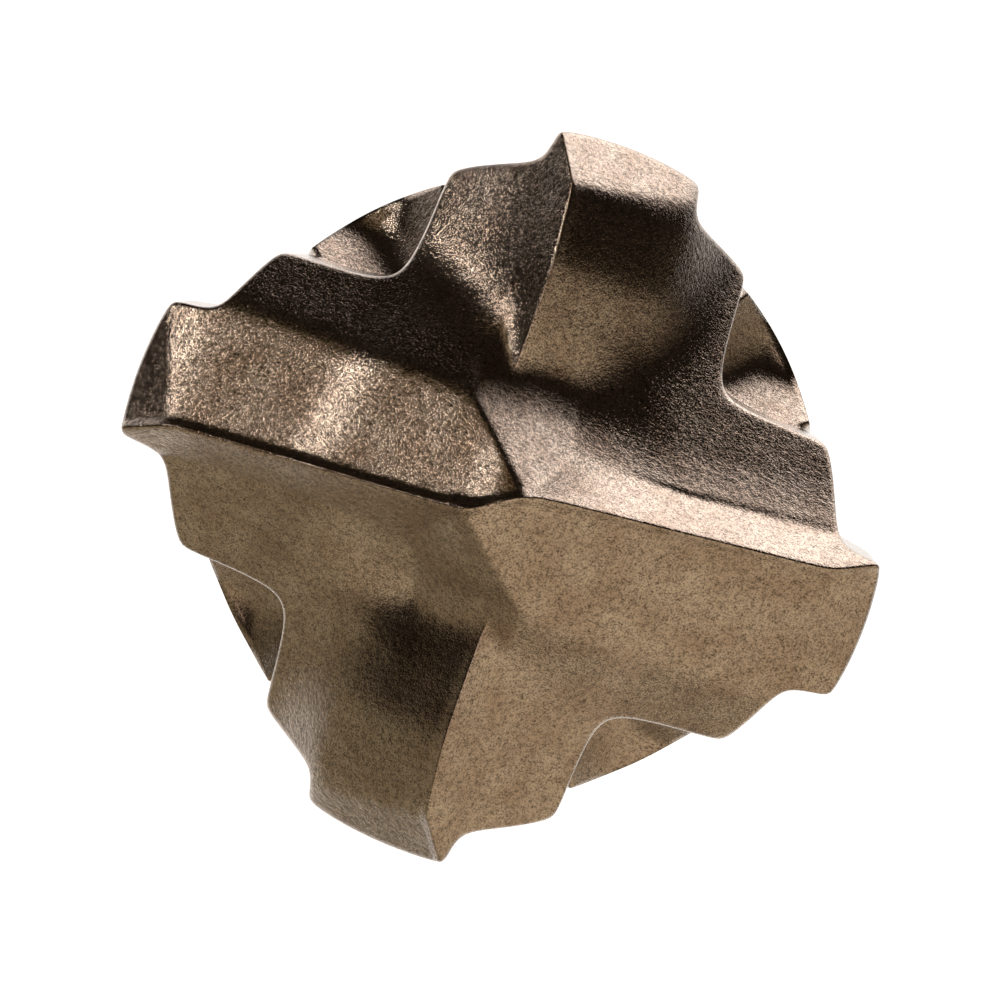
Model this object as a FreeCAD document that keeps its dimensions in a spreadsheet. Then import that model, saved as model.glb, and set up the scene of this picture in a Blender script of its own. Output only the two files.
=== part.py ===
import FreeCAD, Part
import math
import os
import Sketcher

# A four-edged hammer drill bit with an SDS-plus shank, standing on its shank end with the tip up.
# Z is the drill axis, the origin is the middle of the shank end, and the main cutting edges lie along X.
# Millimetres and degrees throughout.

drill = FreeCAD.newDocument("hammer_drill_bit")
sizes = drill.addObject("Spreadsheet::Sheet", "Sizes")

drivingSizes = {
    # whole bit
    "overallLength": 160.0,
    "headHeight": 10.0,
    "cuttingDiameter": 12.0,
    # shank
    "shankDiameter": 10.0,
    "shankLength": 40.0,
    "shankChamfer": 0.75,
    "slotWidth": 3.6,
    "slotDepth": 1.5,
    "slotLength": 25.0,
    "slotRunOut": 6.0,
    "lockRadius": 3.0,
    "lockDepth": 1.65,
    "lockStart": 8.5,
    "lockEnd": 27.5,
    "neckLength": 12.0,
    "neckTaper": 2.0,
    "shankTurn": 37.5,
    # fluted part
    "fluteBodyDiameter": 10.14,
    "coreDiameter": 6.0,
    "flutePitch": 24.0,
    "fluteWidth": 8.4,
    "fluteHeel": 0.9,
    "fluteRunOut": 6.0,
    "collarLength": 3.0,
    # head blank: lobes, teeth, flutes and the round foot
    "footHeight": 0.8,
    "headNeckHeight": 1.4,
    "headFlare": 1.8,
    "lobeDiameter": 10.4,
    "flankWall": 2.45,
    "fluteCorner": 0.95,
    "fluteFoot": 0.9,
    "mainLead": 1.02,
    "mainTrail": 1.2,
    "secondDiameter": 11.6,
    "secondLead": 1.05,
    "secondTrail": 1.3,
    "toothFlare": 0.4,
    "toothRoot": 0.35,
    "toothRelief": 0.1,
    # crown, main blades
    "chiselLength": 0.86,
    "chiselOffset": 0.28,
    "pilotRadius": 2.75,
    "pilotSlope": 24.0,
    "pilotStepWidth": 0.4,
    "pilotStepSlope": 36.0,
    "mainSlope": 21.0,
    "mainEdgeOffset": 0.64,
    "mainCornerLength": 0.7,
    "mainCornerSlope": 40.0,
    "webOffset": 0.49,
    "webWidth": 0.93,
    "webLength": 0.71,
    "mainRakeWidth": 0.52,
    "mainRakeAngle": 66.0,
    "mainGullyWidth": 0.6,
    "mainGullyAngle": 52.0,
    "mainShoulderAngle": 48.0,
    "mainFlankWidth": 1.5,
    "mainFlankAngle": 22.0,
    "mainBackAngle": 54.0,
    "lipWidth": 0.1,
    "lipAngle": 48.0,
    # crown, second blades
    "secondDrop": 2.15,
    "secondStart": 1.3,
    "secondInnerSlope": 58.0,
    "secondCrestRadius": 3.4,
    "secondSlope": 25.0,
    "secondEdgeOffset": 0.42,
    "secondCornerLength": 0.8,
    "secondCornerSlope": 48.0,
    "secondRakeWidth": 0.45,
    "secondRakeAngle": 54.0,
    "secondGullyWidth": 0.5,
    "secondGullyAngle": 50.0,
    "secondShoulderAngle": 46.0,
    "secondFlankWidth": 1.25,
    "secondFlankAngle": 39.0,
    "secondBackAngle": 47.0,
}

for row, (name, size) in enumerate(drivingSizes.items(), start=1):
    sizes.set(f"A{row}", name)
    sizes.set(f"B{row}", str(size))
    sizes.setAlias(f"B{row}", name)
drill.recompute()

# half width and depth of the blocks that the crown surfaces are cut from, well outside the head
crownReach = 7.0
crownDepth = 14.0
# how far a cutting profile stands out of the surface that it opens
overcut = 1.0
# parts of a flute's width: the floor on the core, and the floor with both heels
fluteFloorShare = 0.48
fluteHeelShare = 0.8
# the drive slot's floor rises to a knee, and from there out of the shank
kneeDepthShare = 0.6
kneeShare = 0.45
exitShare = 0.25
# how far a flute's run-out rises above the body's surface
climbMargin = 0.4
# how far a tooth's root reaches into the lobe
toothInset = 0.2
# the rake face's width at stations along a main blade, as parts of its width at the corner
rakeShares = {"chisel": 1.4, "web": 1.35, "pilot": 1.15, "step": 1.1, "end": 0.6}
# small steps of the edges along the blades
chiselDrop = 0.03
webEdgeStep = 0.02
stepEdgeStep = 0.03
crestLength = 0.5
crestEdgeStep = 0.03
secondEdgeStep = 0.12


def bound(words):
    """Puts the sheet's name before each size in an expression written with plain size names."""
    for name in sorted(drivingSizes, key=len, reverse=True):
        words = words.replace(name, f"<{list(drivingSizes).index(name)}>")
    for number, name in enumerate(drivingSizes):
        words = words.replace(f"<{number}>", f"Sizes.{name}")
    return words


def valueOf(words):
    return float(sizes.evalExpression(bound(words)))


def originItem(body, role):
    return next(item for item in body.Origin.OriginFeatures if item.Role == role)


def newBody(label, turn=0.0):
    body = drill.addObject("PartDesign::Body", label)
    body.Label = label
    body.Placement = FreeCAD.Placement(FreeCAD.Vector(), FreeCAD.Rotation(FreeCAD.Vector(0, 0, 1), turn))
    return body


def newSketch(body, name, role, offset="0", turn="0"):
    """A sketch on an origin plane, moved along the plane's normal and turned about the drill axis."""
    axis = FreeCAD.Vector(0, 0, 1) if role == "XY_Plane" else FreeCAD.Vector(0, 1, 0)
    sketch = body.newObject("Sketcher::SketchObject", name)
    sketch.AttachmentSupport = [(originItem(body, role), "")]
    sketch.MapMode = "FlatFace"
    sketch.AttachmentOffset = FreeCAD.Placement(FreeCAD.Vector(), FreeCAD.Rotation(axis, valueOf(turn)))
    sketch.setExpression("AttachmentOffset.Rotation.Angle", bound(turn))
    sketch.setExpression("AttachmentOffset.Base.z", bound(offset))
    return sketch


def pin(sketch, kind, geometry, end, words):
    """Holds one point of a sketch at a distance from its origin, given by an expression."""
    index = sketch.addConstraint(Sketcher.Constraint(kind, -1, 1, geometry, end, valueOf(words)))
    sketch.setExpression(f"Constraints[{index}]", bound(words))


def pinPoint(sketch, geometry, end, across, up):
    """Holds one point of a sketch at two expressions."""
    pin(sketch, "DistanceX", geometry, end, across)
    pin(sketch, "DistanceY", geometry, end, up)


def outline(sketch, corners):
    """A closed run of straight lines through corners given as pairs of expressions."""
    places = [FreeCAD.Vector(valueOf(across), valueOf(up), 0) for across, up in corners]
    count = len(corners)
    for index in range(count):
        sketch.addGeometry(Part.LineSegment(places[index], places[(index + 1) % count]), False)
    for index in range(count):
        sketch.addConstraint(Sketcher.Constraint("Coincident", index, 2, (index + 1) % count, 1))
    for index, (across, up) in enumerate(corners):
        pinPoint(sketch, index, 1, across, up)


def circle(sketch, across, up, radius):
    """One circle about a point given by two expressions."""
    middle = FreeCAD.Vector(valueOf(across), valueOf(up), 0)
    index = sketch.addGeometry(Part.Circle(middle, FreeCAD.Vector(0, 0, 1), valueOf(radius)), False)
    pinPoint(sketch, index, 3, across, up)
    number = sketch.addConstraint(Sketcher.Constraint("Radius", index, valueOf(radius)))
    sketch.setExpression(f"Constraints[{number}]", bound(radius))


def feature(body, kind, name, profile, **settings):
    """A feature on a profile, with text settings bound to the sheet and the others set plainly."""
    made = body.newObject(kind, name)
    made.Profile = profile
    for key, setting in settings.items():
        if isinstance(setting, str):
            made.setExpression(key, bound(setting))
        else:
            setattr(made, key, setting)
    drill.recompute()
    return made


def turned(body, name, originals, copies):
    """Copies features round the drill axis."""
    pattern = body.newObject("PartDesign::PolarPattern", name)
    pattern.Originals = originals
    pattern.Axis = (originItem(body, "Z_Axis"), [""])
    pattern.Angle = 360
    pattern.Occurrences = copies
    body.Tip = pattern
    drill.recompute()
    return pattern


def rounded(body, name, radius, chosen):
    """Fillets every edge of the body's shape that the test picks."""
    base = body.Tip
    picked = [f"Edge{number}" for number, edge in enumerate(base.Shape.Edges, start=1) if chosen(edge)]
    fillet = body.newObject("PartDesign::Fillet", name)
    fillet.Base = (base, picked)
    fillet.setExpression("Radius", bound(radius))
    body.Tip = fillet
    drill.recompute()
    return fillet


def fluteSketch(body, name, height, turn):
    """The section of a flute at a height, in the half plane turned from XZ about the drill axis."""
    sketch = newSketch(body, name, "XZ_Plane", "0", turn)
    lip = f"fluteBodyDiameter / 2 + {overcut}"
    outline(sketch, [
        (lip, f"{height} - fluteWidth / 2"),
        ("coreDiameter / 2 + fluteHeel", f"{height} - fluteWidth / 2 * {fluteHeelShare}"),
        ("coreDiameter / 2", f"{height} - fluteWidth / 2 * {fluteFloorShare}"),
        ("coreDiameter / 2", f"{height} + fluteWidth / 2 * {fluteFloorShare}"),
        ("coreDiameter / 2 + fluteHeel", f"{height} + fluteWidth / 2 * {fluteHeelShare}"),
        (lip, f"{height} + fluteWidth / 2"),
    ])
    return sketch


def drillBody():
    """The steel body: revolved blank, two helical flutes, two open drive slots and two ball grooves."""
    body = newBody("drill_body")
    blank = newSketch(body, "bodyProfile", "XZ_Plane")
    top = "(overallLength - headHeight)"
    outline(blank, [
        ("0", "0"),
        ("shankDiameter / 2 - shankChamfer", "0"),
        ("shankDiameter / 2", "shankChamfer"),
        ("shankDiameter / 2", "shankLength + neckLength"),
        ("fluteBodyDiameter / 2", "shankLength + neckLength + neckTaper"),
        ("fluteBodyDiameter / 2", top),
        ("0", top),
    ])
    feature(body, "PartDesign::Revolution", "rod", blank, ReferenceAxis=(blank, ["V_Axis"]), Angle=360.0)
    before = body.Shape.Volume
    ball = newSketch(body, "ballProfile", "YZ_Plane", "0", "shankTurn")
    centre = "(shankDiameter / 2 - lockDepth + lockRadius)"
    low, high = "lockStart + lockRadius", "lockEnd - lockRadius"
    lowEnd = FreeCAD.Vector(valueOf(centre), valueOf(low), 0)
    highEnd = FreeCAD.Vector(valueOf(centre), valueOf(high), 0)
    radius = valueOf("lockRadius")
    towardAxis = FreeCAD.Vector(-radius, 0, 0)
    ball.addGeometry(Part.LineSegment(lowEnd + towardAxis, highEnd + towardAxis), False)
    up, face = FreeCAD.Vector(0, radius, 0), FreeCAD.Vector(0, 0, 1)
    ball.addGeometry(Part.ArcOfCircle(Part.Circle(highEnd, face, radius), math.pi / 2, math.pi), False)
    ball.addGeometry(Part.LineSegment(highEnd + up, lowEnd - up), False)
    ball.addGeometry(Part.ArcOfCircle(Part.Circle(lowEnd, face, radius), math.pi, 1.5 * math.pi), False)
    for first, firstEnd, second, secondEnd in ((0, 2, 1, 2), (1, 1, 2, 1), (2, 2, 3, 2), (3, 1, 0, 1)):
        ball.addConstraint(Sketcher.Constraint("Coincident", first, firstEnd, second, secondEnd))
    pinPoint(ball, 1, 3, centre, high)
    pinPoint(ball, 3, 3, centre, low)
    pinPoint(ball, 0, 1, f"{centre} - lockRadius", low)
    pinPoint(ball, 0, 2, f"{centre} - lockRadius", high)
    pin(ball, "DistanceX", 2, 1, centre)
    pin(ball, "DistanceX", 2, 2, centre)
    ball.addGeometry(Part.LineSegment(lowEnd, highEnd), True)
    pinPoint(ball, 4, 1, centre, low)
    pinPoint(ball, 4, 2, centre, high)
    drill.recompute()
    ballCut = feature(body, "PartDesign::Groove", "ballGroove", ball, ReferenceAxis=(ball, ["Axis0"]), Angle=360.0)
    turned(body, "ballGrooves", [ballCut], 2)
    assert body.Shape.Volume < before, "the ball grooves cut nothing"

    slot = newSketch(body, "slotProfile", "XZ_Plane", "0", "shankTurn")
    outline(slot, [
        ("shankDiameter / 2 - slotDepth", f"-{overcut}"),
        ("shankDiameter / 2 - slotDepth", "slotLength - slotRunOut"),
        (f"shankDiameter / 2 - slotDepth * {kneeDepthShare}", f"slotLength - slotRunOut * {kneeShare}"),
        (f"shankDiameter / 2 + {overcut}", f"slotLength + slotRunOut * {exitShare}"),
        (f"shankDiameter / 2 + {overcut}", f"-{overcut}"),
    ])
    before = body.Shape.Volume
    slotCut = feature(body, "PartDesign::Pocket", "slot", slot, Midplane=True, Type=0, Length="slotWidth")
    turned(body, "slots", [slotCut], 2)
    assert body.Shape.Volume < before, "the drive slots cut nothing"

    rodVolume = body.Shape.Volume
    start = "(shankLength + neckLength + neckTaper + fluteRunOut)"
    end = f"({top} - collarLength - fluteRunOut)"
    run = f"({end} - {start})"
    flute = fluteSketch(body, "fluteProfile", start, "0")
    helix = feature(body, "PartDesign::SubtractiveHelix", "flute", flute, ReferenceAxis=(flute, ["V_Axis"]),
                    Mode=0, Pitch="flutePitch", Height=run, LeftHanded=False)
    turned(body, "flutes", [helix], 2)
    # at each end the flute climbs out of the body on a cone while it keeps turning
    climb = f"(fluteBodyDiameter / 2 - coreDiameter / 2 + {climbMargin})"
    climbAngle = f"atan({climb} / fluteRunOut)"
    for place, turn, height, down in (("low", "0", start, True), ("high", f"360 * {run} / flutePitch", end, False)):
        profile = fluteSketch(body, f"{place}RunOutProfile", height, turn)
        runOut = feature(body, "PartDesign::SubtractiveHelix", f"{place}RunOut", profile,
                         ReferenceAxis=(profile, ["V_Axis"]), Mode=0, Pitch="flutePitch",
                         Height="fluteRunOut", Angle=climbAngle, LeftHanded=False, Reversed=down)
        turned(body, f"{place}RunOuts", [runOut], 2)
    assert body.Shape.Volume < rodVolume, "the flutes cut nothing"
    return body


def headBlank():
    """The head seen in plan: four lobes with a tooth on each, four square flutes and a round foot."""
    body = newBody("headBlank")
    seat = "(overallLength - headHeight)"
    lobes = newSketch(body, "lobeOutline", "XY_Plane", seat)
    circle(lobes, "0", "0", "lobeDiameter / 2")
    feature(body, "PartDesign::Pad", "lobes", lobes, Length="headHeight")
    wall = f"cuttingDiameter / 2 + {overcut}"
    for blade, diameter, direction in (("main", "cuttingDiameter", "0"), ("second", "secondDiameter", "90")):
        tooth = newSketch(body, f"{blade}Tooth", "XY_Plane", seat, direction)
        flare = "lobeDiameter / 2 + toothFlare"
        inset = f"lobeDiameter / 2 - {toothInset}"
        outline(tooth, [
            ("0", f"-{blade}Trail - toothRoot"),
            (inset, f"-{blade}Trail - toothRoot"),
            (flare, f"-{blade}Trail"),
            (f"sqrt(({diameter} / 2 - toothRelief) ^ 2 - {blade}Trail ^ 2)", f"-{blade}Trail"),
            (f"{diameter} / 2", "0"),
            (f"sqrt(({diameter} / 2) ^ 2 - {blade}Lead ^ 2)", f"{blade}Lead"),
            (flare, f"{blade}Lead"),
            (inset, f"{blade}Lead + toothRoot"),
            ("0", f"{blade}Lead + toothRoot"),
        ])
        pad = feature(body, "PartDesign::Pad", f"{blade}ToothPad", tooth, Length="headHeight")
        turned(body, f"{blade}Teeth", [pad], 2)
    before = body.Shape.Volume
    flute = newSketch(body, "headFlute", "XY_Plane", f"{seat} + footHeight")
    outline(flute, [
        ("flankWall", "flankWall"),
        (wall, "flankWall"),
        (wall, wall),
        ("flankWall", wall),
    ])
    cut = feature(body, "PartDesign::Pocket", "headFluteCut", flute, Type=0, Length="headHeight", Reversed=True)
    turned(body, "headFlutes", [cut], 4)
    assert body.Shape.Volume < before, "the head flutes cut nothing"

    flutePost = valueOf("flankWall") * math.sqrt(2)

    def isFluteCorner(edge):
        ends = [vertex.Point for vertex in edge.Vertexes]
        if len(ends) < 2 or abs(ends[0].z - ends[1].z) < 1:
            return False
        return all(abs(math.hypot(end.x, end.y) - flutePost) < 0.01 for end in ends)

    rounded(body, "fluteCorners", "fluteCorner", isFluteCorner)
    floor = valueOf(f"{seat} + footHeight")

    def isFluteFoot(edge):
        box = edge.BoundBox
        middle = edge.valueAt((edge.FirstParameter + edge.LastParameter) / 2)
        onFloor = abs(box.ZMin - floor) < 0.001 and abs(box.ZMax - floor) < 0.001
        return onFloor and math.hypot(middle.x, middle.y) < valueOf("lobeDiameter / 2") - 0.05

    rounded(body, "fluteFeet", "fluteFoot", isFluteFoot)
    return body


def headEnvelope():
    """The turned outside of the head: round foot, flare and the ground cutting diameter."""
    body = newBody("headEnvelope")
    seat = "(overallLength - headHeight)"
    side = newSketch(body, "envelopeProfile", "XZ_Plane")
    outline(side, [
        ("0", seat),
        ("fluteBodyDiameter / 2", seat),
        ("fluteBodyDiameter / 2", f"{seat} + headNeckHeight"),
        ("cuttingDiameter / 2", f"{seat} + headNeckHeight + headFlare"),
        ("cuttingDiameter / 2", f"overallLength + {overcut}"),
        ("0", f"overallLength + {overcut}"),
    ])
    feature(body, "PartDesign::Revolution", "envelope", side, ReferenceAxis=(side, ["V_Axis"]), Angle=360.0)
    return body


def crossSection(blade, edge, drop, rake, flankEnd):
    """One section across a blade, as heights over offsets: shoulder, gully, rake face, edge, lip, flank, back."""
    foot = f"({edge} + {rake})"
    footDrop = f"({drop} + {rake} * tan({blade}RakeAngle))"
    gully = f"({foot} + {blade}GullyWidth)"
    gullyDrop = f"({footDrop} + {blade}GullyWidth * tan({blade}GullyAngle))"
    shoulderDrop = f"({gullyDrop} + ({crownReach} - {gully}) * tan({blade}ShoulderAngle))"
    lipDrop = f"({drop} + lipWidth * tan(lipAngle))"
    flankDrop = f"({lipDrop} + ({edge} - lipWidth + {flankEnd}) * tan({blade}FlankAngle))"
    farDrop = f"({flankDrop} + ({crownReach} - {flankEnd}) * tan({blade}BackAngle))"
    offsetsAndDrops = [
        (f"{crownReach}", shoulderDrop),
        (gully, gullyDrop),
        (foot, footDrop),
        (edge, drop),
        (f"{edge} - lipWidth", lipDrop),
        (f"-({flankEnd})", flankDrop),
        (f"-{crownReach}", farDrop),
        (f"-{crownReach}", f"{crownDepth}"),
        (f"{crownReach}", f"{crownDepth}"),
    ]
    return [(offset, f"overallLength - {depth}") for offset, depth in offsetsAndDrops]


def bladeBody(label, stations, turn):
    """A blade as a ruled loft through its sections, doubled by half a turn."""
    body = newBody(label, turn)
    sketches = []
    for number, (place, corners) in enumerate(stations):
        sketch = newSketch(body, f"{label}Section{number}", "YZ_Plane", place)
        outline(sketch, corners)
        sketches.append(sketch)
    drill.recompute()
    loft = body.newObject("PartDesign::AdditiveLoft", f"{label}Loft")
    loft.Profile = sketches[0]
    loft.Sections = sketches[1:]
    loft.Ruled = True
    drill.recompute()
    turned(body, f"{label}Pair", [loft], 2)
    return body


def mainBlades():
    """The two main blades, each from the middle of the chisel edge to its corner."""
    pilotDrop = "(pilotRadius * tan(pilotSlope))"
    stepDrop = f"({pilotDrop} + pilotStepWidth * tan(pilotStepSlope))"
    cornerStart = "(cuttingDiameter / 2 - mainCornerLength)"
    cornerDrop = f"({stepDrop} + ({cornerStart} - pilotRadius - pilotStepWidth) * tan(mainSlope))"
    endDrop = f"({cornerDrop} + 2 * mainCornerLength * tan(mainCornerSlope))"
    pilotEdge = f"(chiselOffset + (mainEdgeOffset - chiselOffset) * pilotRadius / {cornerStart})"
    rake = {station: f"mainRakeWidth * {share}" for station, share in rakeShares.items()}
    stations = [
        ("0", crossSection("main", "0", "0", rake["chisel"], "webOffset")),
        ("chiselLength / 2", crossSection("main", "chiselOffset", f"{chiselDrop}", rake["chisel"], "webWidth")),
        ("webLength", crossSection("main", f"chiselOffset + {webEdgeStep}", "webLength * tan(pilotSlope)",
                                   rake["web"], "mainFlankWidth")),
        ("pilotRadius", crossSection("main", pilotEdge, pilotDrop, rake["pilot"], "mainFlankWidth")),
        ("pilotRadius + pilotStepWidth", crossSection("main", f"{pilotEdge} + {stepEdgeStep}", stepDrop,
                                                      rake["step"], "mainFlankWidth")),
        (cornerStart, crossSection("main", "mainEdgeOffset", cornerDrop, "mainRakeWidth", "mainFlankWidth")),
        (f"{cornerStart} + 2 * mainCornerLength", crossSection(
            "main", "mainEdgeOffset + 2 * (mainLead - mainEdgeOffset)", endDrop, rake["end"], "mainFlankWidth")),
    ]
    return bladeBody("mainBlades", stations, 0)


def secondBlades():
    """The two second blades, lower than the main ones, level near the middle and falling past the crest."""
    crestEnd = f"(secondCrestRadius + {crestLength})"
    cornerStart = "(secondDiameter / 2 - secondCornerLength)"
    crestDrop = f"(secondDrop + {crestLength} / 2 * tan(secondSlope))"
    cornerDrop = f"({crestDrop} + ({cornerStart} - {crestEnd}) * tan(secondSlope))"
    endDrop = f"({cornerDrop} + 2 * secondCornerLength * tan(secondCornerSlope))"

    def section(edge, drop):
        return crossSection("second", edge, drop, "secondRakeWidth", "secondFlankWidth")

    stations = [
        ("0", section("secondEdgeOffset", "secondDrop + secondStart * tan(secondInnerSlope)")),
        ("secondStart", section("secondEdgeOffset", "secondDrop")),
        ("secondCrestRadius", section("secondEdgeOffset", "secondDrop")),
        (crestEnd, section(f"secondEdgeOffset + {crestEdgeStep}", crestDrop)),
        (cornerStart, section(f"secondEdgeOffset + {secondEdgeStep}", cornerDrop)),
        (f"{cornerStart} + 2 * secondCornerLength", section("secondEdgeOffset + 2 * (secondLead - secondEdgeOffset)", endDrop)),
    ]
    return bladeBody("secondBlades", stations, 90)


def carbideHead():
    """The head: its plan form, its turned outside and the crown of four blades, taken together."""
    blank = headBlank()
    envelope = headEnvelope()
    floor = drill.addObject("Part::Cylinder", "crownFloor")
    floor.setExpression("Radius", bound("cuttingDiameter"))
    floor.setExpression("Height", bound("headHeight / 4"))
    floor.setExpression("Placement.Base.z", bound("overallLength - headHeight"))
    crown = drill.addObject("Part::MultiFuse", "crown")
    crown.Shapes = [mainBlades(), secondBlades(), floor]
    drill.recompute()
    head = drill.addObject("Part::MultiCommon", "carbide_head")
    head.Label = "carbide_head"
    head.Shapes = [blank, envelope, crown]
    drill.recompute()
    return head


pieces = [drillBody(), carbideHead()]
drill.recompute()

for item in drill.Objects:
    if "Invalid" in item.State or "Error" in item.State:
        raise SystemExit(f"{item.Label} did not build: {item.State}")

os.makedirs("parts", exist_ok=True)
for piece in pieces:
    shape = piece.Shape
    if shape.isNull() or not shape.isValid() or len(shape.Solids) != 1:
        raise SystemExit(f"{piece.Label} is not one valid solid")
    shape.exportStep(f"parts/{piece.Label}.step")
    print(piece.Label, round(shape.Volume, 2), len(shape.Faces), shape.BoundBox)
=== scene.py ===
import bpy
import numpy as np
from mathutils import Matrix, Vector


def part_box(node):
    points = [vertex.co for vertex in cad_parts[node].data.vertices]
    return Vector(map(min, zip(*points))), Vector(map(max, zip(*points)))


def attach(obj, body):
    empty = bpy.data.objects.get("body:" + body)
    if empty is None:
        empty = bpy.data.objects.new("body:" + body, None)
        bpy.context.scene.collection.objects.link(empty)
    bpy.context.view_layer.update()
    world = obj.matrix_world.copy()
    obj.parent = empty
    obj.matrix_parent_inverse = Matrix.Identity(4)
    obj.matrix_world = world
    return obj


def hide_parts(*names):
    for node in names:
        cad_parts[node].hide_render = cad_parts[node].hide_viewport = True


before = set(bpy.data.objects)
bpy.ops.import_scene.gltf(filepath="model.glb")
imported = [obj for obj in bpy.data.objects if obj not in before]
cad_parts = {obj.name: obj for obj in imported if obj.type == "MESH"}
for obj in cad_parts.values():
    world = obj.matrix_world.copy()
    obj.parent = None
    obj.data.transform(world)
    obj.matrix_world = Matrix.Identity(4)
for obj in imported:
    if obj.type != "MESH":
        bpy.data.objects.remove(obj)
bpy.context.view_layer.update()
mm = 0.001  # every size below is in millimetres or degrees, and meshes are written in metres
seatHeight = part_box("carbide_head")[0].z / mm  # where the carbide head sits on the steel body
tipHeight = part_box("carbide_head")[1].z / mm
print("frame loaded: seat at", round(seatHeight, 3), "tip at", round(tipHeight, 3))


def tanOf(angle):
    # the slope of an angle in degrees
    return np.tan(np.radians(angle))


def hinge(x, soft):
    # nothing before zero and x after it, rounded: half of x plus the root of x squared and soft squared
    return 0.5 * (x + np.sqrt(x * x + soft * soft))


def lesser(a, b, soft):
    # the smaller of two numbers with a rounded change-over: half of their sum less a softened difference
    return 0.5 * (a + b - np.sqrt((a - b) ** 2 + soft * soft))


def greater(a, b, soft):
    # the larger of two numbers with the same rounding
    return -lesser(-a, -b, soft)


def fromTurn(angle, turn):
    # how far each angle lies from a turn about the axis, between minus and plus half a circle
    return (angle - turn + np.pi) % (2 * np.pi) - np.pi


def aroundAxis(radius, angle, height):
    # points at a radius and an angle about the axis and at a height
    x, y = radius * np.cos(angle), radius * np.sin(angle)
    return np.stack([x, y, height + 0 * x], axis=-1)


def gridFaces(rows, columns):
    # quads between neighbouring rows of a grid that closes on itself along its columns
    row, column = np.meshgrid(np.arange(rows - 1), np.arange(columns), indexing="ij")
    nextColumn = (column + 1) % columns
    quads = np.stack([row * columns + column, row * columns + nextColumn,
                      (row + 1) * columns + nextColumn, (row + 1) * columns + column], axis=-1)
    return quads.reshape(-1, 4)


def makePiece(name, points, quads, fans, material, node):
    # one closed smooth mesh from points in millimetres, quads and the triangles of its end fans
    mesh = bpy.data.meshes.new(name)
    loops = np.concatenate([quads.ravel(), fans.ravel()]).astype(np.int32)
    sizes = np.concatenate([np.full(len(quads), 4), np.full(len(fans), 3)])
    starts = np.concatenate([[0], np.cumsum(sizes)[:-1]]).astype(np.int32)
    mesh.vertices.add(len(points))
    mesh.vertices.foreach_set("co", (points * mm).astype(np.float32).ravel())
    mesh.loops.add(len(loops))
    mesh.loops.foreach_set("vertex_index", loops)
    mesh.polygons.add(len(sizes))
    mesh.polygons.foreach_set("loop_start", starts)
    mesh.polygons.foreach_set("use_smooth", np.ones(len(sizes), dtype=bool))
    mesh.update(calc_edges=True)
    mesh.validate()
    mesh.materials.append(material)
    piece = bpy.data.objects.new(name, mesh)
    bpy.context.scene.collection.objects.link(piece)
    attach(piece, "root")
    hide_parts(node)
    print(name, "made with", len(quads) * 2 + len(fans), "triangles")


# crown of the carbide head: u runs out along a blade, and v across it is positive on the side that cuts
crown = {
    # plan of the main edge: S-shaped chisel edge, straight edge that leans out, ground corner
    "chiselHalf": 0.43, "chiselOffset": 0.28, "outerOffset": 0.64, "cornerOffset": 1.0, "cornerStart": 5.22,
    "outerRadius": 6.0, "edgeShift": 0.06, "bendSoft": 0.18,
    # fall along the main edge: centring tip, step, main part, corner
    "pilotSlope": 24.0, "pilotStart": 0.1, "pilotSoft": 0.15, "pilotRadius": 2.75, "pilotSkew": 0.15,
    "stepWidth": 0.4, "stepSlope": 36.0, "stepSoft": 0.2, "mainSlope": 21.0,
    "cornerSlope": 40.0, "cornerSkew": 0.4, "cornerReach": 0.5, "cornerReachSoft": 0.3, "cornerSoft": 0.06,
    # section across the main edge, from the cutting side to the back
    "shoulderAngle": 48.0, "gullyWidth": 0.6, "gullyAngle": 52.0,
    "rakeWidth": 0.52, "rakeWiden": 0.22, "widenMost": 1.4, "rakeAngle": 66.0,
    "lipWidth": 0.14, "lipAngle": 54.0, "lipSoft": 0.02, "lipFootSoft": 0.04,
    "flankAngle": 22.0, "flankWidth": 1.5, "flankShoulder": 54.0,
    "seamDepth": 0.05, "seamWidth": 0.06, "seamStart": 1.5,
    "edgeSoft": 0.035, "footSoft": 0.16, "creaseSoft": 0.18,
    # webs that cut the centring tip off towards the second blades
    "webAngle": 58.0, "webAlong": 0.667, "webAcross": 0.745, "webU": 0.12, "webV": 0.75,
    "webSoft": 0.05, "webBackSoft": 0.1,
    # plan and fall of the second edge
    "secondOffset": 0.43, "secondOuterOffset": 0.55, "secondCornerOffset": 1.0, "secondCornerEnd": 5.7,
    "secondLeanSoft": 0.2, "secondTurnSoft": 0.1,
    "secondDrop": 2.15, "secondStart": 1.3, "secondStartSlope": 1.6, "secondStartSoft": 0.1,
    "secondCrest": 3.75, "secondCrestSoft": 0.35, "secondSlope": 25.0,
    "secondCornerStart": 5.0, "secondCornerSlope": 50.0, "secondCornerSkew": 0.2, "secondCornerSoft": 0.08,
    # section across the second edge
    "secondShoulder": 46.0, "secondGullyWidth": 0.5, "secondGullyAngle": 50.0,
    "secondRakeWidth": 0.45, "secondRakeAngle": 54.0,
    "secondFlankAngle": 39.0, "secondFlankWidth": 1.35, "secondBackAngle": 48.0,
    "secondTwist": 0.45, "secondTwistStart": 1.9, "secondTwistSoft": 0.3,
    # how the blades join
    "mainJoinSoft": 0.05, "joinSoft": 0.1, "valleySoft": 0.75, "valleyStart": 1.3, "valleyRun": 1.7,
}

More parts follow.
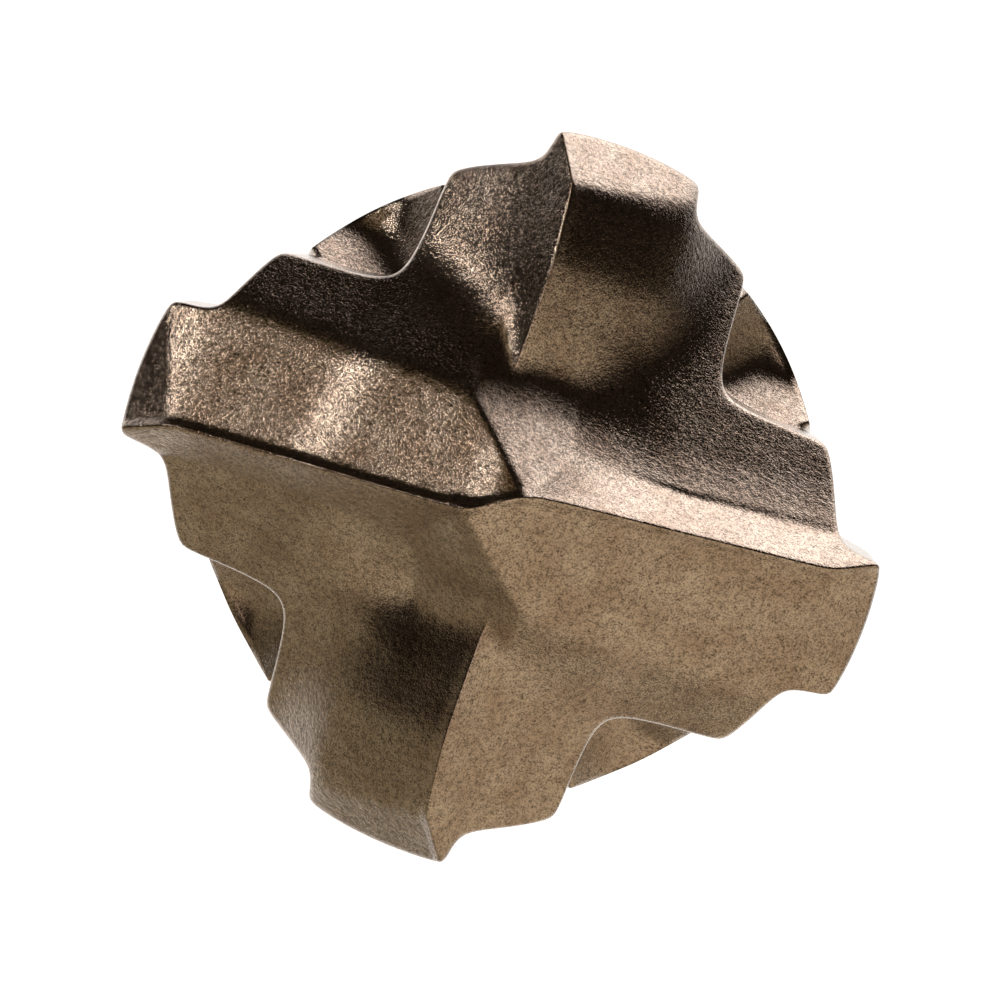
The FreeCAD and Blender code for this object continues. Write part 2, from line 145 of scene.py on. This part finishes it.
# plan of the head: four lobes, a tooth on each, four square flutes with round inner corners, a round foot
plan = {
    "lobeRadius": 5.2, "mainRadius": 6.0, "secondRadius": 5.8, "wall": 2.45,
    "mainLead": 1.02, "mainTrail": 1.2, "secondLead": 1.05, "secondTrail": 1.3,
    "fluteSoft": 0.56, "rootSoft": 0.32, "cornerSoft": 0.12, "toothSoft": 0.02, "edgeBreak": 0.035,
    "footHeight": 0.8, "footRadius": 5.07, "neckHeight": 1.4, "flareHeight": 1.8,
    "scoop": 0.65, "scoopAngle": 62.0, "scoopSoft": 0.15, "scoopEnd": 2.0, "fluteBlend": 0.25,
}

# the head's mesh: how many rows and columns it has, and where they crowd together
meshing = {
    "columns": 600, "rings": 100, "wallRows": 18, "footRows": 14,
    "outlineSamples": 14401, "outlineStep": 0.09, "edgeColumns": 300, "edgeSpread": 0.035,
    "rimShare": 0.97, "rimPacking": 0.6, "footPacking": 1.5, "wallDrop": 0.03, "wallOut": 0.008,
    "secondLineRadii": (1.3, 3.6, 5.0, 5.8), "secondLineOffsets": (0.42, 0.42, 0.55, 1.03),
    "footSideReach": (1.0, 1.0, 0.994), "footSideHeight": (0.5, 0.04, 0.0),
}


def edgeOffset(u, c):
    # S-shaped chisel edge, straight edge that leans out, corner: hinges added up, odd about the axis
    x = np.abs(u)
    inner = c["chiselOffset"] / c["chiselHalf"]
    outer = (c["outerOffset"] - c["chiselOffset"]) / (c["cornerStart"] - c["chiselHalf"])
    corner = (c["cornerOffset"] - c["outerOffset"]) / (c["outerRadius"] - c["cornerStart"]) - outer
    bend = hinge(x - c["chiselHalf"], c["bendSoft"]) - hinge(-c["chiselHalf"], c["bendSoft"])
    turn = corner * hinge(x - c["cornerStart"], c["bendSoft"])
    return np.sign(u) * (inner * x - (inner - outer) * bend + turn)


def section(away, across, rake, gully, shoulder, flank, width, gullyWidth, flankWidth, flankShoulder, c):
    # fall to both sides of an edge: rake, gully and shoulder where it cuts, lip, flank and shoulder behind it
    foot, seat = c["footSoft"], away - width
    leading = rake * hinge(away, c["edgeSoft"]) + (gully - rake) * hinge(seat, foot)
    leading = leading + (shoulder - gully) * hinge(seat - gullyWidth, foot)
    lipRun = hinge(-away, c["lipSoft"]) - hinge(-away - c["lipWidth"], c["lipFootSoft"])
    lip = (tanOf(c["lipAngle"]) - flank) * lipRun
    beyondFlank = hinge(-across - flankWidth, c["creaseSoft"])
    trailing = flank * hinge(-away, c["edgeSoft"]) + (flankShoulder - flank) * beyondFlank
    return leading + trailing + lip


def mainDrop(u, v, shift, c):
    # how far one main blade's surface lies below the tip: drop along its edge plus the fall to either side
    pilot, step = tanOf(c["pilotSlope"]), tanOf(c["stepSlope"])
    main, corner = tanOf(c["mainSlope"]), tanOf(c["cornerSlope"])
    stepAt = u - c["pilotRadius"] - c["pilotSkew"] * v
    cornerAt = u - c["cornerStart"] - c["cornerSkew"] * hinge(c["cornerReach"] - v, c["cornerReachSoft"])
    along = (pilot * hinge(u - c["pilotStart"], c["pilotSoft"])
             + (step - pilot) * hinge(stepAt, c["stepSoft"])
             + (main - step) * hinge(stepAt - c["stepWidth"], c["stepSoft"])
             + (corner - main) * hinge(cornerAt, c["cornerSoft"]))
    away = v - shift - edgeOffset(u, c)
    width = c["rakeWidth"] + c["rakeWiden"] * np.clip(1 - u / c["pilotRadius"], 0, c["widenMost"])
    fall = section(away, v, tanOf(c["rakeAngle"]), tanOf(c["gullyAngle"]), tanOf(c["shoulderAngle"]),
                   tanOf(c["flankAngle"]), width, c["gullyWidth"], c["flankWidth"],
                   tanOf(c["flankShoulder"]), c)
    # a fine groove at the foot of the rake: a bell across it that starts some way out
    bell = np.exp(-((away - width) / c["seamWidth"]) ** 2)
    seam = c["seamDepth"] * bell * np.clip(u - c["seamStart"], 0, 1)
    behind = -hinge(-v, c["webBackSoft"]) + hinge(-v - c["flankWidth"], c["webBackSoft"])
    beyondWeb = -c["webAlong"] * (u - c["webU"]) - c["webAcross"] * (behind + c["webV"])
    return along + fall + seam + tanOf(c["webAngle"]) * hinge(beyondWeb, c["webSoft"])


def secondDrop(u, v, c):
    # one second blade: level to its crest, then falling, with the same kind of section as a main blade
    slope, corner = tanOf(c["secondSlope"]), tanOf(c["secondCornerSlope"])
    skew = c["secondCornerSkew"] * hinge(c["cornerReach"] - v, c["cornerReachSoft"])
    cornerAt = u - c["secondCornerStart"] - skew
    along = (c["secondDrop"] + slope * hinge(u - c["secondCrest"], c["secondCrestSoft"])
             + c["secondStartSlope"] * hinge(c["secondStart"] - u, c["secondStartSoft"])
             + (corner - slope) * hinge(cornerAt, c["secondCornerSoft"]))
    lean = (c["secondOuterOffset"] - c["secondOffset"]) / (c["secondCornerStart"] - c["secondCrest"])
    cornerLength = c["secondCornerEnd"] - c["secondCornerStart"]
    turn = (c["secondCornerOffset"] - c["secondOuterOffset"]) / cornerLength
    edge = (c["secondOffset"] + lean * hinge(u - c["secondCrest"], c["secondLeanSoft"])
            + (turn - lean) * hinge(u - c["secondCornerStart"], c["secondTurnSoft"]))
    fall = section(v - edge, v, tanOf(c["secondRakeAngle"]), tanOf(c["secondGullyAngle"]),
                   tanOf(c["secondShoulder"]), tanOf(c["secondFlankAngle"]), c["secondRakeWidth"],
                   c["secondGullyWidth"], c["secondFlankWidth"], tanOf(c["secondBackAngle"]), c)
    # the lobe behind the crease turns outward the further it lies from the crease
    soft = c["secondTwistSoft"]
    beyondFlank = hinge(-v - c["secondFlankWidth"], soft)
    twist = c["secondTwist"] * beyondFlank * hinge(u - c["secondTwistStart"], soft)
    return along + fall + twist


def crownHeight(x, y, c):
    # the highest of the four blades, joined sharply near the axis and by wide fillets further out
    mains = lesser(mainDrop(x, y, c["edgeShift"], c), mainDrop(-x, -y, -c["edgeShift"], c),
                   c["mainJoinSoft"])
    seconds = np.minimum(secondDrop(y, -x, c), secondDrop(-y, x, c))
    reach = np.clip((np.hypot(x, y) - c["valleyStart"]) / c["valleyRun"], 0, 1)
    valley = c["valleySoft"] * reach * reach * (3 - 2 * reach)
    return tipHeight - lesser(mains, seconds, c["joinSoft"] + valley)


def planGap(x, y, p):
    # below zero inside the plan outline: the cross of two bars cut by the lobe circle, joined with the teeth
    lobes = greater(np.hypot(x, y) - p["lobeRadius"],
                    lesser(np.abs(x), np.abs(y), p["fluteSoft"]) - p["wall"], p["cornerSoft"])
    teeth = []
    for along, across, radius, lead, trail in (
            (x, y, p["mainRadius"], p["mainLead"], p["mainTrail"]),
            (y, -x, p["secondRadius"], p["secondLead"], p["secondTrail"])):
        side = np.where(along > 0, 1.0, -1.0)
        width = greater(across * side - lead, -across * side - trail, p["toothSoft"])
        teeth.append(greater(np.hypot(x, y) - radius, width, p["cornerSoft"]))
    return lesser(lobes, np.minimum(teeth[0], teeth[1]), p["rootSoft"])


def planRadius(angle, p):
    # where a ray from the axis leaves the plan outline, found by halving
    low, high = np.full_like(angle, 1.0), np.full_like(angle, p["mainRadius"] + 1.0)
    for _ in range(40):
        middle = (low + high) / 2
        outside = planGap(middle * np.cos(angle), middle * np.sin(angle), p) > 0
        high = np.where(outside, middle, high)
        low = np.where(outside, low, middle)
    return (low + high) / 2


def headColumns(c, p, m):
    # angles of the mesh columns: even steps along the outline, packed closer round the four cutting edges
    angle = np.linspace(0, 2 * np.pi, m["outlineSamples"])
    radius = planRadius(angle, p)
    step = np.hypot(np.diff(radius), radius[1:] * np.diff(angle)) / m["outlineStep"]
    mainTurn = np.arctan2(c["cornerOffset"], c["outerRadius"])
    for edge in (mainTurn, mainTurn + np.pi / 2, mainTurn + np.pi, mainTurn + 1.5 * np.pi):
        bell = np.exp(-(fromTurn(angle[1:], edge) / m["edgeSpread"]) ** 2)
        step = step + np.diff(angle) * m["edgeColumns"] * bell
    travelled = np.concatenate([[0], np.cumsum(step)])
    return np.interp(np.linspace(0, travelled[-1], m["columns"], endpoint=False), travelled, angle)


def ridgeAngle(radius, c, m, second):
    # the turn of a cutting edge about the axis at each radius, which the mesh columns follow
    reach = np.maximum(radius, 1e-3)
    if second:
        flat = np.interp(reach, m["secondLineRadii"], m["secondLineOffsets"])
        return np.arcsin(np.clip(flat / np.maximum(reach, m["secondLineRadii"][0]), 0, 1))
    return np.arctan2(edgeOffset(reach, c), reach)


def crownRows(rimAngle, rim, c, p, m):
    # rings out from the axis; columns lean with the cutting edges, so that an edge never crosses a column
    share = np.linspace(0, 1, m["rings"] + 1)[1:, None]
    share = np.where(share > m["rimShare"], 1 - (1 - share) * m["rimPacking"], share)
    radius = share * rim
    angle = np.broadcast_to(rimAngle, radius.shape).copy()
    for second, reach, quarter in ((False, p["mainRadius"], 0), (True, p["secondRadius"], np.pi / 2)):
        lean = ridgeAngle(radius, c, m, second) - ridgeAngle(np.minimum(rim, reach), c, m, second)
        turn = ridgeAngle(np.array(reach), c, m, second) + quarter
        for edge in (turn, turn + np.pi):
            off = fromTurn(rimAngle, edge)
            angle = angle + lean * np.where(np.abs(off) < np.pi / 4, np.cos(2 * off) ** 2, 0)
    x, y = radius * np.cos(angle), radius * np.sin(angle)
    # the outline is broken by a small round: a share of its size squared, gone once that far inside
    inside = np.maximum(0, -planGap(x, y, p))
    broken = p["edgeBreak"] * np.maximum(0, 1 - inside / p["edgeBreak"]) ** 2
    return np.stack([x, y, crownHeight(x, y, c) - broken], axis=-1)


def wallRows(rimAngle, rim, rimHeight, p, m):
    # straight down from the outline to the top of the scoops, inside a cone that ends in the foot's cylinder
    wallTop = rimHeight - m["wallDrop"]
    wallEnd = seatHeight + p["footHeight"] + tanOf(p["scoopAngle"]) * p["scoop"]
    height = wallTop + (wallEnd - wallTop) * np.linspace(0, 1, m["wallRows"])[:, None]
    flare = (height - seatHeight - p["neckHeight"]) / p["flareHeight"]
    envelope = p["footRadius"] + (p["mainRadius"] - p["footRadius"]) * np.clip(flare, 0, 1)
    radius = np.minimum(rim + m["wallOut"], envelope)
    return radius[-1], aroundAxis(radius, rimAngle, height)


def footRows(rimAngle, start, p, m):
    # out to the foot's rim: down a rounded scoop where a flute opens, straight down beside a lobe
    floor, slope = seatHeight + p["footHeight"], tanOf(p["scoopAngle"])
    wallEnd = floor + slope * p["scoop"]
    out = np.linspace(0, 1, m["footRows"] + 1)[1:, None]
    radius = start + (p["footRadius"] - start) * out ** m["footPacking"]
    x, y = radius * np.cos(rimAngle), radius * np.sin(rimAngle)
    clear = lesser(np.abs(x), np.abs(y), p["fluteSoft"]) - p["wall"]
    scooped = floor + slope * (hinge(p["scoop"] - clear, p["scoopSoft"])
                               - hinge(p["scoop"] - p["scoopEnd"], p["scoopSoft"]))
    straight = wallEnd + (floor - wallEnd) * out
    inFlute = np.clip((p["footRadius"] - start) / p["fluteBlend"], 0, 1)
    return np.stack([x, y, np.minimum(scooped, wallEnd) * inFlute + straight * (1 - inFlute)], axis=-1)


def carbideHead(c, p, m, material):
    # crown, walls, scoops and the foot's side as rows of one grid, closed by a fan at the tip and one below
    columns = m["columns"]
    rimAngle = headColumns(c, p, m)
    rim = planRadius(rimAngle, p)
    top = crownRows(rimAngle, rim, c, p, m)
    wallFoot, walls = wallRows(rimAngle, rim, top[-1, :, 2], p, m)
    foot = footRows(rimAngle, wallFoot, p, m)
    side = aroundAxis(np.array(m["footSideReach"])[:, None] * p["footRadius"], rimAngle,
                      seatHeight + np.array(m["footSideHeight"])[:, None] * p["footHeight"])
    rows = np.concatenate([top, walls, foot, side])
    apexHeight = crownHeight(np.zeros(1), np.zeros(1), c)[0]
    points = np.concatenate([rows.reshape(-1, 3), [[0, 0, apexHeight], [0, 0, seatHeight]]])
    quads = gridFaces(len(rows), columns)[:, ::-1]
    column = np.arange(columns)
    nextColumn = (column + 1) % columns
    apex, last = len(rows) * columns, (len(rows) - 1) * columns
    fans = np.concatenate([np.stack([np.full(columns, apex), column, nextColumn], axis=-1),
                           np.stack([np.full(columns, apex + 1), last + nextColumn, last + column], axis=-1)])
    makePiece("sculpted_head", points, quads, fans, material, "carbide_head")


class Socket:
    # a shader socket that Python's own operators turn into Math nodes
    def __init__(self, tree, socket):
        self.tree, self.socket = tree, socket

    def node(self, kind, settings=None, output=0, **values):
        # a new node, its settings first, then its sockets: by name, or by number as _0, _1 and so on
        made = self.tree.nodes.new(kind)
        for key, setting in (settings or {}).items():
            setattr(made, key, setting)
        for key, value in values.items():
            target = made.inputs[int(key[1:]) if key[0] == "_" else key]
            if isinstance(value, Socket):
                self.tree.links.new(value.socket, target)
            else:
                target.default_value = value
        return Socket(self.tree, made.outputs[output])

    def math(self, operation, other):
        return self.node("ShaderNodeMath", {"operation": operation}, _0=self, _1=other)

    def __add__(self, other):
        return self.math("ADD", other)

    __radd__ = __add__

    def __mul__(self, other):
        return self.math("MULTIPLY", other)

    __rmul__ = __mul__

    def __sub__(self, other):
        return self.math("SUBTRACT", other)

    def __rsub__(self, other):
        return (self * -1.0) + other

    def within(self, low, high):
        # 0 at low and 1 at high, held between them
        return self.node("ShaderNodeMapRange", {"clamp": True}, _0=self, _1=low, _2=high, _3=0.0, _4=1.0)

    def blend(self, first, second):
        # from the first colour to the second as this goes from 0 to 1
        return self.node("ShaderNodeMix", {"data_type": "RGBA"}, output=2, _0=self, _6=first, _7=second)


def newMaterial(name):
    # a material, its shader, and the place on the object in metres
    material = bpy.data.materials.new(name)
    material.use_nodes = True
    tree = material.node_tree
    place = Socket(tree, tree.nodes.new("ShaderNodeTexCoord").outputs["Object"])
    return material, tree.nodes["Principled BSDF"], place


def noise(place, size, detail, rough=0.5):
    # noise whose grains are about size millimetres across
    return place.node("ShaderNodeTexNoise", {"noise_dimensions": "3D"}, Vector=place, Scale=1.0 / (size * mm),
                      Detail=detail, Roughness=rough)


def feed(shader, name, value):
    value.tree.links.new(value.socket, shader.inputs[name])


def carbideMaterial():
    # sintered tungsten carbide: warm brown metal with dark pits and a fine grain that sparkles
    look = {"base": (0.63, 0.535, 0.455, 1), "pit": (0.11, 0.083, 0.063, 1), "dull": (0.5, 0.395, 0.32, 1),
            "grain": 0.03, "clump": 0.1, "patch": 0.7, "clumpInPits": 0.4, "clumpInRelief": 0.8,
            "pitsFrom": 0.48, "pitsTo": 0.8, "roughness": 0.12, "roughnessSpread": 0.05, "relief": 0.004}
    material, shader, place = newMaterial("sintered_carbide")
    grain = noise(place, look["grain"], 2.0, 0.6)
    clump = noise(place, look["clump"], 2.0)
    metal = noise(place, look["patch"], 3.0).within(0.35, 0.65).blend(look["dull"], look["base"])
    bare = (grain + clump * look["clumpInPits"]).within(look["pitsFrom"], look["pitsTo"])
    feed(shader, "Base Color", bare.blend(look["pit"], metal))
    feed(shader, "Roughness", grain.within(0.3, 0.7) * look["roughnessSpread"] + look["roughness"])
    shader.inputs["Metallic"].default_value = 1.0
    height = grain.within(0.25, 0.75) + clump.within(0.3, 0.7) * look["clumpInRelief"]
    feed(shader, "Normal", place.node("ShaderNodeBump", Strength=1.0, Distance=look["relief"] * mm,
                                      Height=height))
    return material


def steelMaterial():
    # blasted steel: grey metal with faint wide patches and a fine, low grain
    look = {"base": (0.62, 0.59, 0.56, 1), "dark": (0.5, 0.48, 0.46, 1), "grain": 0.08, "patch": 2.5,
            "roughness": 0.35, "roughnessSpread": 0.14, "bump": 0.4, "relief": 0.02}
    material, shader, place = newMaterial("blasted_steel")
    grain = noise(place, look["grain"], 2.0, 0.6)
    patches = noise(place, look["patch"], 3.0)
    feed(shader, "Base Color", patches.within(0.35, 0.65).blend(look["dark"], look["base"]))
    feed(shader, "Roughness", grain.within(0.2, 0.8) * look["roughnessSpread"] + look["roughness"])
    shader.inputs["Metallic"].default_value = 1.0
    feed(shader, "Normal", place.node("ShaderNodeBump", Strength=look["bump"], Distance=look["relief"] * mm,
                                      Height=grain))
    return material


carbideHead(crown, plan, meshing, carbideMaterial())
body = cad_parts["drill_body"]
body.data.materials.clear()
body.data.materials.append(steelMaterial())
print("steel body given its finish")

# the camera looks down the axis from just off it, and the picture's right and up are turned about the axis
view = {"turn": 19.5, "distance": 95.0, "aside": (2.1, 3.75), "aim": 157.2, "wide": 15.54, "film": 36.0,
        "clip": (5.0, 5000.0)}
turn = np.radians(view["turn"])
right = Vector((np.cos(turn), np.sin(turn), 0))
up = Vector((-np.sin(turn), np.cos(turn), 0))


def makeCamera(v):
    # the lens frames a width of wide millimetres at the place it is aimed at
    target = Vector((0, 0, v["aim"]))
    eye = target + Vector((0, 0, v["distance"])) + right * v["aside"][0] + up * v["aside"][1]
    back = (eye - target).normalized()
    across = up.cross(back).normalized()
    cam = bpy.data.objects.new("camera", bpy.data.cameras.new("camera"))
    cam.data.sensor_width = v["film"]
    cam.data.lens = v["film"] * (eye - target).length / v["wide"]
    cam.data.clip_start = v["clip"][0] * mm
    cam.data.clip_end = v["clip"][1] * mm
    facing = Matrix((across, back.cross(across), back)).transposed().to_4x4()
    cam.matrix_world = Matrix.Translation(eye * mm) @ facing
    bpy.context.scene.collection.objects.link(cam)
    bpy.context.scene.camera = cam


def imageWay(angle, tilt):
    # the direction at a compass angle in the picture (0 right, 90 up) and a tilt from overhead
    a, t = np.radians(angle), np.radians(tilt)
    return (right * np.cos(a) + up * np.sin(a)) * np.sin(t) + Vector((0, 0, np.cos(t)))


def makeLamp():
    # a small soft lamp, aimed at the tip, that lays the bright stripe over the left flank
    look = {"angle": 133, "tilt": 78, "distance": 400, "size": (50, 40), "power": 0.18,
            "colour": (1.0, 0.94, 0.86)}
    towards = imageWay(look["angle"], look["tilt"])
    lamp = bpy.data.lights.new("stripe", "AREA")
    lamp.shape = "RECTANGLE"
    lamp.size, lamp.size_y = look["size"][0] * mm, look["size"][1] * mm
    lamp.energy, lamp.color = look["power"], look["colour"]
    holder = bpy.data.objects.new("stripe", lamp)
    holder.location = (Vector((0, 0, tipHeight)) + towards * look["distance"]) * mm
    holder.rotation_mode = "QUATERNION"
    holder.rotation_quaternion = (-towards).to_track_quat("-Z", "Y")
    bpy.context.scene.collection.objects.link(holder)


def makeFloor():
    # a square sheet under the shank end, whose even glow is white in the picture and in the metal
    look = {"reach": 120.0, "colour": (0.5, 0.5, 0.5, 1), "roughness": 0.9, "glow": (1.0, 1.0, 1.0, 1)}
    reach = look["reach"] * mm
    mesh = bpy.data.meshes.new("floor")
    corners = [(-reach, -reach, 0), (reach, -reach, 0), (reach, reach, 0), (-reach, reach, 0)]
    mesh.from_pydata(corners, [], [(0, 1, 2, 3)])
    floor = bpy.data.objects.new("floor", mesh)
    material, shader, _ = newMaterial("floor")
    shader.inputs["Base Color"].default_value = look["colour"]
    shader.inputs["Roughness"].default_value = look["roughness"]
    shader.inputs["Specular IOR Level"].default_value = 0.0
    shader.inputs["Emission Strength"].default_value = 1.0
    shader.inputs["Emission Color"].default_value = look["glow"]
    mesh.materials.append(material)
    bpy.context.scene.collection.objects.link(floor)


def makeWorld():
    # a dark room with soft round cards for the metal to mirror, a later card lying over an earlier one
    # each card: compass angle, tilt from overhead, radii where it starts to fade and where it ends, colour
    dark = (0.02, 0.015, 0.011, 1)
    cards = {
        "south wall": (-72, 84, 48, 76, (0.65, 0.53, 0.375, 1)),
        "gap": (262, 112, 6, 13, (0.04, 0.03, 0.02, 1)),
        "west wall": (208, 112, 20, 46, (0.32, 0.265, 0.175, 1)),
        "ceiling": (-90, 4, 22, 44, (0.78, 0.62, 0.5, 1)),
        "north card": (114, 57, 12, 20, (0.27, 0.21, 0.13, 1)),
        "west card": (138, 137, 10, 16, (1.6, 1.5, 1.42, 1)),
        "east card": (58, 134, 20, 23, (2.6, 2.4, 2.28, 1)),
    }
    world = bpy.data.worlds.new("studio")
    bpy.context.scene.world = world
    world.use_nodes = True
    tree = world.node_tree
    way = Socket(tree, tree.nodes.new("ShaderNodeTexCoord").outputs["Generated"])
    studio = dark
    for angle, tilt, inner, outer, colour in cards.values():
        # the cosine between a direction and the card's middle says how far off it lies
        near = way.node("ShaderNodeVectorMath", {"operation": "DOT_PRODUCT"}, output=1, _0=way,
                        _1=tuple(imageWay(angle, tilt)))
        studio = near.within(np.cos(np.radians(outer)), np.cos(np.radians(inner))).blend(studio, colour)
    feed(tree.nodes["Background"], "Color", studio)


makeCamera(view)
makeFloor()
makeWorld()
makeLamp()
bpy.context.scene.view_settings.view_transform = "Standard"
print("camera, lamp, world and floor set")
